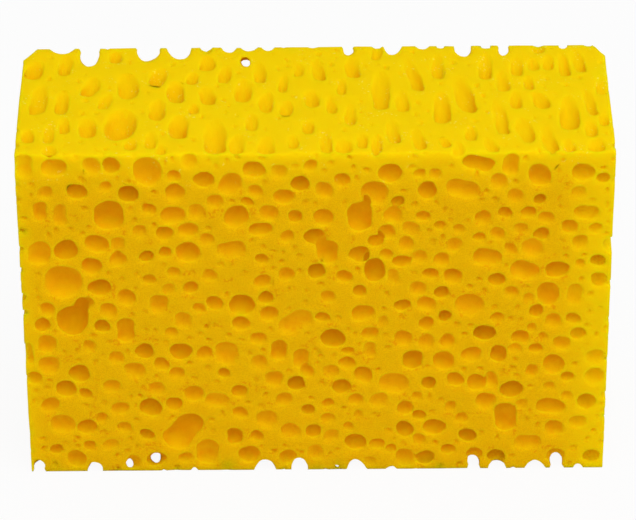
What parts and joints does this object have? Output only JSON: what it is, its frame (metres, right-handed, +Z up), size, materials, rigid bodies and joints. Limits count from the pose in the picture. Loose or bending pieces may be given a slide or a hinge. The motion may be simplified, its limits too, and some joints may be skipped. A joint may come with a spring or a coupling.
{
  "type": "cleaning sponge",
  "caption": "Block of yellow open-pored foam for wiping and washing, standing on a long narrow side, with round pores on its large faces and drawn-out pores on its edges.",
  "frame": {"origin": "middle of the underside, on the surface that the sponge stands on", "axes": "+X along the length, +Y through the thickness from the marked large face to the other, +Z up along the height"},
  "size_m": [0.15, 0.05, 0.1],
  "materials": {
    "foam": "soft matt yellow polyurethane foam, open pored"
  },
  "bodies": {
    "root": {"sponge": "foam"}
  },
  "joints": []
}
